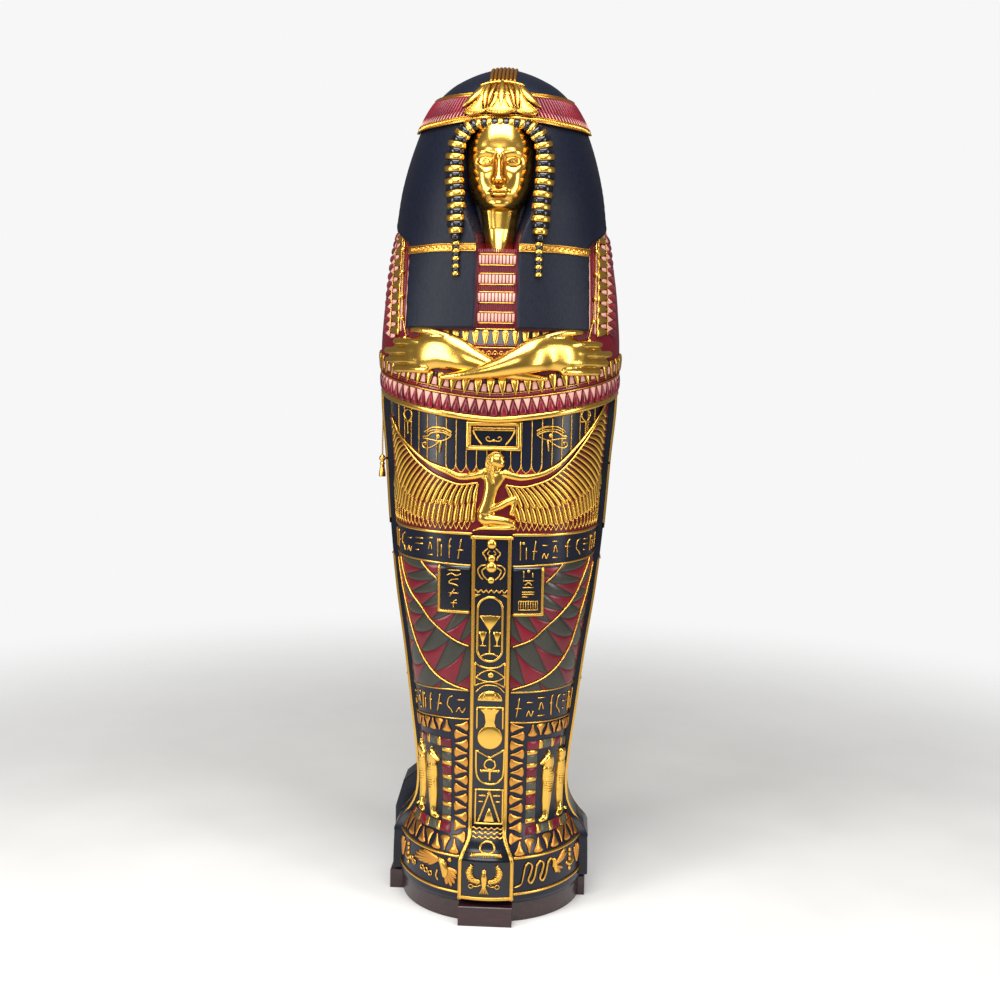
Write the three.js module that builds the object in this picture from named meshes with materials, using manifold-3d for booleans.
// Life-size painted and gilded anthropoid coffin: a hollow lid and a hollow case that stand
// together on a dark wooden plinth, with a short pull cord and a gilt pull on one side.
// Millimetres, +Z up. The origin is on the floor under the middle, and the front faces -Y.
import * as THREE from 'three';
import { mergeVertices } from 'three/addons/utils/BufferGeometryUtils.js';
import { ParametricGeometry } from 'three/addons/geometries/ParametricGeometry.js';
import Module from 'manifold-3d';

// ---- Driving dimensions -------------------------------------------------------------------
const HEIGHT = 1930;
const PLINTH_TOP = 46;
const GAP = 0.3;
const SEAM_Y = 42;

// Outer skin of the body: height, half width, half depth, squareness of the section.
const BODY_ROWS = [
  [46, 219, 219, 2.0],
  [60, 221, 221, 2.0],
  [150, 219, 219, 2.0],
  [166, 214, 215, 2.0],
  [190, 195, 201, 2.05],
  [215, 178, 189, 2.1],
  [245, 168, 184, 2.15],
  [285, 165, 182, 2.2],
  [340, 169, 182, 2.3],
  [450, 182, 185, 2.4],
  [600, 200, 191, 2.5],
  [750, 221, 197, 2.6],
  [900, 236, 203, 2.5],
  [1050, 246, 207, 2.4],
  [1200, 257, 209, 2.3],
];
// Outer skin of the mantle: the collar, sleeves, shoulders and wig.
const MANTLE_ROWS = [
  [1140, 262, 222, 2.3],
  [1200, 270, 223, 2.3],
  [1290, 276, 218, 2.25],
  [1400, 269, 206, 2.15],
  [1500, 255, 197, 2.05],
  [1590, 233, 190, 2.0],
  [1660, 222, 184, 2.0],
  [1730, 208, 175, 2.0],
  [1795, 188, 160, 2.0],
  [1842, 163, 140, 2.0],
  [1882, 125, 110, 2.0],
  [1908, 80, 73, 2.0],
  [1924, 38, 35, 2.0],
];
// Inside of the hollow: height, half width, reach to the front, reach to the back.
const HOLLOW_ROWS = [
  [40, 204, 204, 204],
  [146, 203, 203, 203],
  [180, 180, 186, 187],
  [240, 152, 167, 168],
  [340, 154, 167, 168],
  [600, 187, 175, 176],
  [900, 221, 187, 188],
  [1150, 240, 193, 193],
  [1290, 250, 193, 200],
  [1440, 240, 150, 188],
  [1500, 232, 96, 180],
  [1590, 215, 98, 174],
  [1730, 186, 98, 158],
  [1842, 140, 90, 122],
  [1895, 75, 55, 75],
];

const RIM_FRONT_Z = 1143;
const RIM_SIDE_Z = 1203;
const RIM_RADIUS = 7;

const BAND_RAISE = 9;
const BAND_HALF_TOP = 44;
const BAND_HALF_LOW = 42;
const BAND_HALF_FOOT = 60;
const BAND_TOP_Z = 889;
const SIDE_BAND_RAISE = 13;
const SIDE_BAND_HALF = 42;
const FOOT_BAND_LOW_Z = 58;
const FOOT_BAND_HIGH_Z = 150;

const PLINTH_RADIUS = 214;
const PAD_HALF = 61;
const PAD_REACH = 240;
const SIDE_PAD_HALF = 45;
const SIDE_PAD_REACH = 227;
const HEEL_REACH = 242;
const HEEL_BACK_Y = 130;

const LAPPET_INNER = 43;
const LAPPET_OUTER = 208;
const LAPPET_BOTTOM = 1338;
const LAPPET_TOP = 1586;
const LAPPET_RAISE = 13;

const FACE_TOP = 1774;
const FACE_CHIN = 1598;
const FACE_BACK_Y = -118;
const BRAID_X = 95;
const FINGER_PITCH = 20;

const WING_LOW_Z = 897;
const FIGURE_ARCS = [143, 203];
const FIGURE_FOOT_Z = 216;

// ---- Solids: meshes made closed, joined and cut --------------------------------------------
const wasm = await Module();
wasm.setup();

function signedVolume(points, triangles) {
  const a = new THREE.Vector3();
  const b = new THREE.Vector3();
  const c = new THREE.Vector3();
  let sum = 0;
  for (let i = 0; i < triangles.length; i += 3) {
    a.fromArray(points, triangles[i] * 3);
    b.fromArray(points, triangles[i + 1] * 3);
    c.fromArray(points, triangles[i + 2] * 3);
    sum += a.dot(b.cross(c)) / 6;
  }
  return sum;
}

function solid(geometry) {
  const bare = geometry.clone();
  bare.deleteAttribute('normal');
  bare.deleteAttribute('uv');
  const merged = mergeVertices(bare, 1e-3);
  const points = new Float32Array(merged.attributes.position.array);
  const kept = [];
  const index = merged.index.array;
  for (let i = 0; i < index.length; i += 3) {
    const [a, b, c] = [index[i], index[i + 1], index[i + 2]];
    if (a !== b && b !== c && c !== a) kept.push(a, b, c);
  }
  if (signedVolume(points, kept) < 0) {
    for (let i = 0; i < kept.length; i += 3) [kept[i], kept[i + 1]] = [kept[i + 1], kept[i]];
  }
  const mesh = new wasm.Mesh({ numProp: 3, vertProperties: points, triVerts: new Uint32Array(kept) });
  return new wasm.Manifold(mesh);
}

function joined(geometries) {
  return geometries.map(solid).reduce((whole, piece) => whole.add(piece));
}

function box(low, high) {
  const size = high.map((value, i) => value - low[i]);
  const geometry = new THREE.BoxGeometry(...size);
  return geometry.translate(...low.map((value, i) => value + size[i] / 2));
}

function namedMesh(name, body, material) {
  const { vertProperties, triVerts } = body.getMesh();
  const geometry = new THREE.BufferGeometry();
  geometry.setAttribute('position', new THREE.BufferAttribute(vertProperties, 3));
  geometry.setIndex(new THREE.BufferAttribute(triVerts, 1));
  geometry.computeVertexNormals();
  const mesh = new THREE.Mesh(geometry, material);
  mesh.name = name;
  return mesh;
}

// ---- The skin: a smooth curve through the rows, and places on it ---------------------------
function slope(rows, i, column) {
  if (i === 0 || i === rows.length - 1) return 0;
  const before = (rows[i][column] - rows[i - 1][column]) / (rows[i][0] - rows[i - 1][0]);
  const after = (rows[i + 1][column] - rows[i][column]) / (rows[i + 1][0] - rows[i][0]);
  return before * after <= 0 ? 0 : (2 * before * after) / (before + after);
}

function rowAt(rows, z) {
  let i = 0;
  while (i < rows.length - 2 && z > rows[i + 1][0]) i += 1;
  const span = rows[i + 1][0] - rows[i][0];
  const t = THREE.MathUtils.clamp((z - rows[i][0]) / span, 0, 1);
  const ease = t * t * (3 - 2 * t);
  return [1, 2, 3].map((column) => {
    const rise = rows[i + 1][column] - rows[i][column];
    const enter = slope(rows, i, column) * span * t * (1 - t) * (1 - t);
    const leave = slope(rows, i + 1, column) * span * t * t * (1 - t);
    return rows[i][column] + rise * ease + enter - leave;
  });
}

function power(value, exponent) {
  return Math.sign(value) * Math.abs(value) ** exponent;
}

// A point of the section at a turn round the body: 0 is the front, a quarter turn is +X.
function sectionPoint(rows, turn, z, out = 0) {
  const [a, b, n] = rowAt(rows, z);
  const x = a * power(Math.sin(turn), 2 / n);
  const y = -b * power(Math.cos(turn), 2 / n);
  const normal = new THREE.Vector3(power(x / a, n - 1) / a, power(y / b, n - 1) / b, 0).normalize();
  return new THREE.Vector3(x + normal.x * out, y + normal.y * out, z);
}

// The turn that lies a given arc length away from the front centre line.
function turnAt(rows, arc, z) {
  const step = Math.PI / 64;
  const last = sectionPoint(rows, 0, z);
  let length = 0;
  for (let turn = step; turn < Math.PI; turn += step) {
    const next = sectionPoint(rows, turn, z);
    const part = next.distanceTo(last);
    if (length + part >= Math.abs(arc)) {
      const share = (Math.abs(arc) - length) / part;
      return Math.sign(arc) * (turn - step + step * share);
    }
    length += part;
    last.copy(next);
  }
  return Math.sign(arc) * Math.PI;
}

function skin(rows, arc, z, out) {
  return sectionPoint(rows, turnAt(rows, arc, z), z, out);
}

// Wraps a flat geometry (x = arc length, y = height, z = relief) round the skin.
function wrapped(geometry, rows) {
  const places = geometry.attributes.position;
  for (let i = 0; i < places.count; i += 1) {
    const place = skin(rows, places.getX(i), places.getY(i), places.getZ(i));
    places.setXYZ(i, place.x, place.y, place.z);
  }
  return geometry;
}

// A closed skin between stacked rings; ring(turn, level) gives a point, levels count from 0.
function loft(ring, turns, levels) {
  const surface = (u, v, target) => {
    const level = Math.round(v * (levels + 1)) - 1;
    const turn = turns[Math.round(u * (turns.length - 1))];
    if (level >= 0 && level < levels) return target.copy(ring(turn, level));
    const end = level < 0 ? 0 : levels - 1;
    const middle = ring(0, end).add(ring(Math.PI, end)).multiplyScalar(0.5);
    return target.copy(middle);
  };
  return new ParametricGeometry(surface, turns.length - 1, levels + 1);
}

function evenTurns(count) {
  return Array.from({ length: count + 1 }, (_, i) => -Math.PI + (2 * Math.PI * i) / count);
}

// Turns that crowd round the front, where the relief is, and thin out at the back.
function frontTurns(front, back) {
  const side = Math.PI / 2;
  const turns = [];
  for (let i = 0; i < back / 2; i += 1) turns.push(-Math.PI + (side * 2 * i) / back);
  for (let i = 0; i < front; i += 1) turns.push(-side + (Math.PI * i) / front);
  for (let i = 0; i <= back / 2; i += 1) turns.push(side + (side * 2 * i) / back);
  return turns;
}

// A slab of relief on the skin. Its edges are functions of the share across or up.
function slab({ rows, left, right, bottom, top, columns, steps, raise, sink = 8 }) {
  const surface = (u, v, target) => {
    const i = Math.round(u * (columns + 4)) - 2;
    const j = Math.round(v * (steps + 4)) - 2;
    const middle = i < -1 || j < -1 || i > columns + 1 || j > steps + 1;
    const across = middle ? 0.5 : THREE.MathUtils.clamp(i / columns, 0, 1);
    const up = middle ? 0.5 : THREE.MathUtils.clamp(j / steps, 0, 1);
    const arc = THREE.MathUtils.lerp(left(up), right(up), across);
    const edge = i < 0 || j < 0 || i > columns || j > steps;
    return target.set(arc, THREE.MathUtils.lerp(bottom(across), top(across), up), edge ? -sink : raise(up));
  };
  return wrapped(new ParametricGeometry(surface, columns + 4, steps + 4), rows);
}

// An egg-shaped swelling on the skin.
function swelling(rows, arc, z, size, out) {
  const geometry = new THREE.SphereGeometry(1, 7, 5);
  geometry.scale(...size).translate(arc, z, out);
  return wrapped(geometry, rows);
}

// A rounded relief along a path on the skin; each stop is arc, height, half width, thickness.
function pillow(rows, stops, sides = 8, out = 0) {
  const spine = stops.map(([arc, z]) => new THREE.Vector2(arc, z));
  const last = stops.length - 1;
  const surface = (u, v, target) => {
    const level = Math.round(v * (last + 2)) - 1;
    const i = THREE.MathUtils.clamp(level, 0, last);
    const along = spine[Math.min(i + 1, last)].clone().sub(spine[Math.max(i - 1, 0)]).normalize();
    const [arc, z, half, thick] = stops[i];
    const cap = level < 0 ? -half * 0.6 : half * 0.6;
    if (level !== i) return target.set(arc + along.x * cap, z + along.y * cap, out);
    const turn = Math.PI * 2 * u;
    const across = half * Math.cos(turn);
    return target.set(arc - along.y * across, z + along.x * across, out + thick * Math.sin(turn));
  };
  return wrapped(new ParametricGeometry(surface, sides, last + 2), rows);
}

// ---- The shell: body, mantle and the hollow inside -----------------------------------------
const bodyLevels = [46, FOOT_BAND_HIGH_Z, 166, 190, 215, 245, 320, 450, 640, 860, 1215];

function bodySkin(turns) {
  return loft((turn, level) => sectionPoint(BODY_ROWS, turn, bodyLevels[level]), turns, bodyLevels.length);
}

function rimHeight(turn) {
  const away = 1 - Math.max(0, Math.cos(turn));
  return THREE.MathUtils.lerp(RIM_FRONT_Z, RIM_SIDE_Z, away ** 0.65);
}

const mantleLevels = [0, 1280, 1400, 1500, 1590, 1680, 1750, 1800, 1845, 1880, 1906, 1920];

function mantleSkin(turns) {
  const ring = (turn, level) => {
    const z = level === 0 ? rimHeight(turn) : mantleLevels[level];
    return sectionPoint(MANTLE_ROWS, turn, z);
  };
  const closed = loft(ring, turns, mantleLevels.length);
  const places = closed.attributes.position;
  for (let i = 0; i < places.count; i += 1) {
    const crown = places.getZ(i) > 1919 && Math.hypot(places.getX(i), places.getY(i)) < 5;
    if (crown) places.setZ(i, HEIGHT);
  }
  return closed;
}

function hollow() {
  const ring = (turn, level) => {
    const [z, side, front, back] = HOLLOW_ROWS[level];
    const reach = Math.cos(turn) > 0 ? front : back;
    return new THREE.Vector3(side * Math.sin(turn), -reach * Math.cos(turn), z);
  };
  return loft(ring, evenTurns(20), HOLLOW_ROWS.length);
}

function rimRoll() {
  const stops = Array.from({ length: 19 }, (_, i) => -1.48 + (2.96 * i) / 18);
  const points = stops.map((turn) => sectionPoint(MANTLE_ROWS, turn, rimHeight(turn) + 4, -2));
  const path = new THREE.CatmullRomCurve3(points);
  const round = new THREE.Shape().absarc(0, 0, RIM_RADIUS, 0, Math.PI * 2);
  return new THREE.ExtrudeGeometry(round, { steps: 24, curveSegments: 3, extrudePath: path });
}

// ---- Bands -----------------------------------------------------------------------------------
function frontBandHalf(z) {
  const foot = THREE.MathUtils.smoothstep(205 - z, 0, 60);
  const rise = THREE.MathUtils.mapLinear(z, 205, BAND_TOP_Z, BAND_HALF_LOW, BAND_HALF_TOP);
  return THREE.MathUtils.lerp(rise, BAND_HALF_FOOT, foot);
}

function frontBand() {
  const heights = [BAND_TOP_Z, 560, 340, 240, 205, 178, FOOT_BAND_HIGH_Z, FOOT_BAND_LOW_Z];
  const ring = (turn, level) => {
    const z = heights[level];
    const half = frontBandHalf(z);
    const extra = z > FOOT_BAND_HIGH_Z ? 0 : 4;
    const near = skin(BODY_ROWS, half, z, BAND_RAISE + extra);
    const middle = sectionPoint(BODY_ROWS, 0, z, BAND_RAISE + extra);
    const bend = Math.cos(turn);
    const x = half * Math.sign(Math.sin(turn)) * (Math.abs(Math.sin(turn)) > 0.3 ? 1 : 0);
    const y = bend > 0.3 ? (x === 0 ? middle.y : near.y) : near.y + 30;
    return new THREE.Vector3(x, y, z);
  };
  const corners = [-2.4, -0.8, 0, 0.8, 2.4, -2.4 + 2 * Math.PI];
  return loft(ring, corners, heights.length);
}

function sideBandHalf(z) {
  const foot = THREE.MathUtils.smoothstep(205 - z, 0, 60);
  return THREE.MathUtils.lerp(SIDE_BAND_HALF, BAND_HALF_FOOT, foot);
}

function sideBand(side) {
  const heights = [1205, 900, 600, 340, 285, 235, 205, 178, FOOT_BAND_HIGH_Z, FOOT_BAND_LOW_Z];
  const corners = [-2.4, -0.8, 0.8, 2.4, -2.4 + 2 * Math.PI];
  const ring = (turn, level) => {
    const z = heights[level];
    const reach = rowAt(BODY_ROWS, z)[0] + (z > FOOT_BAND_HIGH_Z ? SIDE_BAND_RAISE : BAND_RAISE + 4);
    const y = sideBandHalf(z) * Math.sign(Math.sin(turn));
    return new THREE.Vector3(side * (Math.cos(turn) > 0 ? reach : reach - 40), y, z);
  };
  return loft(ring, corners, heights.length);
}

// The case's foot stands out beyond the lid's on the pull side, with a sloping shoulder.
function heel() {
  const outline = new THREE.Shape();
  outline.moveTo(-140, PLINTH_TOP);
  outline.lineTo(-HEEL_REACH, PLINTH_TOP);
  outline.lineTo(-HEEL_REACH, 172);
  outline.lineTo(-223, 238);
  outline.lineTo(-195, 262);
  outline.lineTo(-140, 280);
  const depth = HEEL_BACK_Y - SEAM_Y;
  const geometry = new THREE.ExtrudeGeometry(outline, { depth, bevelEnabled: false });
  return geometry.rotateX(Math.PI / 2).translate(0, HEEL_BACK_Y, 0);
}

// ---- Wig, face and braids ----------------------------------------------------------------------
function lappet(side) {
  const inner = (up) => side * (LAPPET_INNER + 34 * THREE.MathUtils.smoothstep(up, 0.5, 0.95));
  const outer = (up) => side * (LAPPET_OUTER + 52 * THREE.MathUtils.smoothstep(up, 0.7, 1));
  return slab({
    rows: MANTLE_ROWS,
    left: side > 0 ? inner : outer,
    right: side > 0 ? outer : inner,
    bottom: () => LAPPET_BOTTOM,
    top: () => LAPPET_TOP,
    columns: 5,
    steps: 5,
    raise: (up) => (up > 0.9 ? -4 : LAPPET_RAISE),
  });
}

// Half width of the face from hairline to chin, on the canon of equal thirds.
function faceHalf(z) {
  const up = (z - FACE_CHIN) / (FACE_TOP - FACE_CHIN);
  const jaw = Math.sqrt(THREE.MathUtils.clamp(up * 2.2, 0, 1));
  const brow = 1 - 0.25 * THREE.MathUtils.smoothstep(up, 0.72, 1.1);
  return 20 + 55 * jaw ** 0.9 * brow;
}

function hump(value, centre, width) {
  return Math.exp(-(((value - centre) / width) ** 2));
}

function faceReach(x, z) {
  const third = (FACE_TOP - FACE_CHIN) / 3;
  const browZ = FACE_TOP - third;
  const noseZ = FACE_CHIN + third;
  const mouthZ = noseZ - third * 0.36;
  const across = Math.min(1, Math.abs(x) / faceHalf(z));
  let reach = 74 * Math.sqrt(Math.max(0, 1 - across ** 2.6));
  const bridge = THREE.MathUtils.smoothstep(browZ + 4 - z, 0, third);
  const tip = 1 - THREE.MathUtils.smoothstep(noseZ - z, -6, 5);
  reach += (5 + 17 * bridge) * tip * hump(x, 0, 8 + 5 * bridge) * (z < browZ + 12 ? 1 : 0.4);
  reach -= 9 * hump(Math.abs(x), 31, 15) * hump(z, browZ - 16, 12);
  reach += 3 * hump(z, browZ + 2, 9);
  reach += 5 * hump(x, 0, 20) * hump(z, mouthZ, 9);
  reach -= 5 * hump(x, 0, 24) * hump(z, mouthZ - 15, 6);
  reach += 5 * hump(x, 0, 18) * hump(z, FACE_CHIN + 14, 14);
  return reach;
}

function face() {
  const columns = 12;
  const steps = 14;
  const surface = (u, v, target) => {
    const i = Math.round(u * (columns + 4)) - 2;
    const j = Math.round(v * (steps + 4)) - 2;
    if (i < -1 || j < -1 || i > columns + 1 || j > steps + 1) {
      return target.set(0, FACE_BACK_Y + 10, (FACE_CHIN + FACE_TOP) / 2);
    }
    const z = THREE.MathUtils.lerp(FACE_CHIN, FACE_TOP + 14, THREE.MathUtils.clamp(j / steps, 0, 1));
    const share = THREE.MathUtils.clamp((2 * i) / columns - 1, -1, 1);
    const x = share * faceHalf(z);
    const edge = i < 0 || j < 0 || i > columns || j > steps;
    return target.set(x, edge ? FACE_BACK_Y + 10 : FACE_BACK_Y - faceReach(x, z) - 8, z);
  };
  return new ParametricGeometry(surface, columns + 4, steps + 4);
}

function neck() {
  const shape = [[0, 1500], [34, 1500], [38, 1540], [46, 1590], [56, 1640], [0, 1640]];
  const geometry = new THREE.LatheGeometry(shape.map(([r, z]) => new THREE.Vector2(r, z)), 12);
  return geometry.rotateX(Math.PI / 2).translate(0, -128, 0);
}

function faceNiche() {
  const outline = new THREE.Shape();
  outline.moveTo(-40, 1512);
  outline.lineTo(40, 1512);
  outline.lineTo(76, 1600);
  outline.lineTo(84, 1740);
  outline.quadraticCurveTo(70, 1786, 0, 1788);
  outline.quadraticCurveTo(-70, 1786, -84, 1740);
  outline.lineTo(-76, 1600);
  outline.closePath();
  const geometry = new THREE.ExtrudeGeometry(outline, { depth: 160, bevelEnabled: false, curveSegments: 4 });
  return geometry.rotateX(Math.PI / 2).translate(0, FACE_BACK_Y - 2, 0);
}

// A hanging braid: rings that swell and pinch down its length, then a thin beaded tail.
function braid(side) {
  const pitch = 29;
  const profile = [new THREE.Vector2(0, 1772)];
  for (let i = 0; i < 8; i += 1) {
    const z = 1766 - i * pitch;
    const radius = i < 6 ? 23 : 23 - 5 * (i - 5);
    profile.push(new THREE.Vector2(radius, z));
    profile.push(new THREE.Vector2(radius - 4, z - pitch * 0.7));
  }
  for (let i = 0; i < 4; i += 1) {
    const z = 1526 - i * 20;
    profile.push(new THREE.Vector2(9 - i * 0.5, z));
    profile.push(new THREE.Vector2(5, z - 13));
  }
  profile.push(new THREE.Vector2(0, 1448));
  const geometry = new THREE.LatheGeometry(profile, 6);
  geometry.rotateX(Math.PI / 2);
  const places = geometry.attributes.position;
  for (let i = 0; i < places.count; i += 1) {
    const z = places.getZ(i);
    const x = side * BRAID_X * THREE.MathUtils.mapLinear(z, 1448, 1772, 0.9, 1.0);
    const wig = skin(MANTLE_ROWS, x * 1.03, z, z < 1600 ? LAPPET_RAISE : 0).y;
    places.setXYZ(i, places.getX(i) + x, places.getY(i) * 0.7 + wig - 3, z);
  }
  return geometry;
}

function fringe() {
  const points = [-1, -0.8, -0.5, -0.2, 0, 0.2, 0.5, 0.8, 1].map((share) => {
    const x = share * BRAID_X;
    const z = 1786 - 24 * share ** 2;
    return new THREE.Vector3(x, skin(MANTLE_ROWS, x, z, 4).y - 2, z);
  });
  const path = new THREE.CatmullRomCurve3(points);
  const round = new THREE.Shape().absellipse(0, 0, 13, 13, 0, Math.PI * 2);
  return new THREE.ExtrudeGeometry(round, { steps: 10, curveSegments: 3, extrudePath: path });
}

// Three fan-shaped blossoms over the brow.
function diadem() {
  return [-1, 0, 1].map((place) => {
    const centre = place * 54;
    const wide = place === 0 ? 32 : 26;
    const high = place === 0 ? 78 : 64;
    const shape = new THREE.Shape();
    shape.moveTo(centre - wide, 1802);
    shape.lineTo(centre + wide, 1802);
    shape.quadraticCurveTo(centre + wide * 0.5, 1802 + high * 0.5, centre - place * 10, 1802 + high);
    shape.quadraticCurveTo(centre - wide * 0.5, 1802 + high * 0.5, centre - wide, 1802);
    const options = { depth: place === 0 ? 26 : 22, bevelEnabled: false, curveSegments: 4 };
    return wrapped(new THREE.ExtrudeGeometry(shape, options).translate(0, 0, -8), MANTLE_ROWS);
  });
}

// ---- Arms and hands ----------------------------------------------------------------------------
// A forearm that widens to the wrist, the back of the hand, four straight fingers and a thumb.
function arm(side, lift) {
  const forearm = [
    [-112, 1238, 10, 10], [-60, 1244, 15, 16 + lift], [0, 1256, 21, 20 + lift],
    [60, 1276, 31, 22 + lift], [112, 1292, 38, 21], [160, 1288, 38, 19], [186, 1286, 34, 12],
  ];
  const pieces = [pillow(MANTLE_ROWS, forearm.map(([arc, ...rest]) => [side * arc, ...rest]), 7, 3)];
  const thumb = [[118, 1322, 8, 16], [160, 1333, 8, 17], [194, 1337, 6, 14]];
  pieces.push(pillow(MANTLE_ROWS, thumb.map(([arc, ...rest]) => [side * arc, ...rest]), 5, 5));
  for (let finger = 0; finger < 4; finger += 1) {
    const z = 1312 - finger * FINGER_PITCH;
    const reach = 278 - Math.abs(finger - 1.2) * 11;
    const stops = [[side * 172, z, 9, 14], [side * 222, z, 9, 13], [side * reach, z, 7, 9]];
    pieces.push(pillow(MANTLE_ROWS, stops, 5, 3));
  }
  return pieces;
}

// ---- Winged figure -------------------------------------------------------------------------------
function wingTop(arc) {
  return 1024 + 18 * THREE.MathUtils.smoothstep(arc, 80, 140) + 128 * ((arc - 60) / 220) ** 2 * (arc > 60);
}

function wing(side) {
  const root = 14;
  const tip = 284;
  const arcAt = (across) => THREE.MathUtils.lerp(root, tip, side > 0 ? across : 1 - across);
  const low = () => WING_LOW_Z + 8;
  const high = (across) => wingTop(arcAt(across)) - 4;
  const middle = (across) => THREE.MathUtils.lerp(WING_LOW_Z, high(across), 0.5);
  const left = () => (side > 0 ? root : -tip);
  const right = () => (side > 0 ? tip : -root);
  const shared = { rows: BODY_ROWS, left, right, columns: 9, steps: 1 };
  return [
    slab({ ...shared, bottom: low, top: high, raise: () => 4 }),
    slab({ ...shared, bottom: middle, top: high, raise: () => 8 }),
  ];
}

function wingedFigure() {
  const rows = BODY_ROWS;
  const pieces = [
    pillow(rows, [[-6, 1033, 14, 17], [-2, 1048, 21, 19], [0, 1062, 15, 15]], 7, 8),
    pillow(rows, [[-5, 1030, 24, 17], [-6, 1012, 22, 19], [-10, 975, 15, 17], [-14, 945, 14, 17]], 7, 6),
    pillow(rows, [[-24, 940, 16, 18], [12, 952, 14, 20], [48, 968, 10, 18]], 7, 6),
    pillow(rows, [[50, 966, 10, 17], [48, 940, 9, 15], [44, 918, 8, 13]], 7, 5),
    pillow(rows, [[-44, 930, 12, 16], [0, 921, 12, 16], [56, 914, 8, 14]], 7, 4),
    slab({
      rows, left: () => -52, right: () => 52, bottom: () => 896, top: () => 907, columns: 4, steps: 1, raise: () => 9,
    }),
  ];
  for (const side of [-1, 1]) {
    const stops = [14, 74, 134, 194, 254].map((arc) => [side * arc, wingTop(arc) - 2, 8, 12]);
    stops.push([side * 282, 1180, 7, 10]);
    pieces.push(pillow(rows, stops, 5, 3), ...wing(side));
  }
  return pieces;
}

// ---- Small figures -------------------------------------------------------------------------------
function mummyFigure(arc, facing) {
  const foot = FIGURE_FOOT_Z;
  const body = [[0, 122, 19, 10], [0, 70, 17, 13], [0, 24, 10, 11], [14, 5, 8, 8]];
  const head = [[-2, 136, 12, 11], [1, 158, 12, 11]];
  return [body, head].map((part) => {
    const stops = part.map(([x, z, half, thick]) => [arc + facing * x, foot + z, half, thick]);
    return pillow(BODY_ROWS, stops, 5, 2);
  });
}

function smallFigures() {
  const pieces = [];
  for (const side of [-1, 1]) {
    for (const arc of FIGURE_ARCS) pieces.push(...mummyFigure(side * arc, -side));
  }
  pieces.push(swelling(BODY_ROWS, 0, 869, [13, 13, 11], 13));
  pieces.push(swelling(BODY_ROWS, 0, 812, [13, 17, 12], 13));
  pieces.push(swelling(BODY_ROWS, 0, 784, [10, 10, 9], 12));
  return pieces;
}

// ---- Plinth, pull cord and pull --------------------------------------------------------------------
function plinth() {
  const disc = new THREE.CylinderGeometry(PLINTH_RADIUS, PLINTH_RADIUS, PLINTH_TOP - GAP, 48);
  disc.rotateX(Math.PI / 2).translate(0, 0, (PLINTH_TOP - GAP) / 2);
  const top = PLINTH_TOP - GAP;
  const rightPad = box([0, -SIDE_PAD_HALF, 0], [SIDE_PAD_REACH, SIDE_PAD_HALF, top]);
  const leftPad = box([-HEEL_REACH, -SIDE_PAD_HALF, 0], [0, HEEL_BACK_Y, top]);
  const alongY = box([-PAD_HALF, -PAD_REACH, 0], [PAD_HALF, PAD_REACH, top]);
  return joined([disc, rightPad, leftPad, alongY]);
}

const CORD_DIAMETER = 4;
const CORD_ROUTE = [
  [-272, -8, 1199], [-272, -8, 1188], [-272.2, -8, 1177], [-272.5, -8, 1165], [-272.8, -8.1, 1154],
  [-273.1, -8.2, 1143], [-273.4, -8.3, 1132], [-273.6, -8.4, 1121], [-273.8, -8.4, 1110],
  [-274, -8.4, 1099], [-274.1, -8.3, 1088], [-274.2, -8.2, 1077], [-274.2, -8.1, 1066],
  [-274.2, -8, 1055], [-274.2, -8, 1048],
];
const PULL_TOP = 1048 - GAP;

function pullCord() {
  const path = new THREE.CatmullRomCurve3(CORD_ROUTE.map((place) => new THREE.Vector3(...place)));
  const round = new THREE.Shape().absarc(0, 0, CORD_DIAMETER / 2, 0, Math.PI * 2);
  return new THREE.ExtrudeGeometry(round, { steps: 18, curveSegments: 4, extrudePath: path });
}

function pull() {
  const shape = [[0, 0], [4, -1], [8, -7], [8, -12], [4, -18], [6.5, -21], [5, -25], [8, -42], [8.5, -52], [0, -52]];
  const geometry = new THREE.LatheGeometry(shape.map(([r, z]) => new THREE.Vector2(r, z)), 10);
  return geometry.rotateX(Math.PI / 2).translate(-274.2, -8, PULL_TOP);
}

// ---- Assembly ------------------------------------------------------------------------------------
const turns = frontTurns(24, 12);
const far = 400;
let outer = joined([bodySkin(turns), mantleSkin(turns), rimRoll(), sideBand(1), sideBand(-1), frontBand(), heel()]);
outer = outer.subtract(solid(faceNiche()));
const reliefs = [
  lappet(1), lappet(-1), face(), neck(), fringe(), braid(1), braid(-1), ...diadem(),
  ...arm(-1, 0), ...arm(1, 12), ...wingedFigure(), ...smallFigures(),
];
outer = outer.add(joined(reliefs));
const shell = outer.subtract(solid(hollow()));
const frontSpace = solid(box([-far, -far, PLINTH_TOP], [far, SEAM_Y - GAP / 2, HEIGHT + far]));
const backSpace = solid(box([-far, SEAM_Y + GAP / 2, PLINTH_TOP], [far, far, HEIGHT + far]));

const paint = new THREE.MeshStandardMaterial({ color: 0x10131f, roughness: 0.35, metalness: 0.1 });
const backPaint = new THREE.MeshStandardMaterial({ color: 0x0d101a, roughness: 0.45, metalness: 0.0 });
const stainedWood = new THREE.MeshStandardMaterial({ color: 0x3a1a1e, roughness: 0.45, metalness: 0.0 });
const goldCord = new THREE.MeshStandardMaterial({ color: 0xb08a3e, roughness: 0.7, metalness: 0.0 });
const gilt = new THREE.MeshStandardMaterial({ color: 0xd2a040, roughness: 0.3, metalness: 1.0 });

const coffin = new THREE.Group();
coffin.add(namedMesh('lid', shell.intersect(frontSpace), paint));
coffin.add(namedMesh('case', shell.intersect(backSpace), backPaint));
coffin.add(namedMesh('plinth', plinth(), stainedWood));
coffin.add(namedMesh('pull_cord', solid(pullCord()), goldCord));
coffin.add(namedMesh('pull', solid(pull()), gilt));

export default coffin;
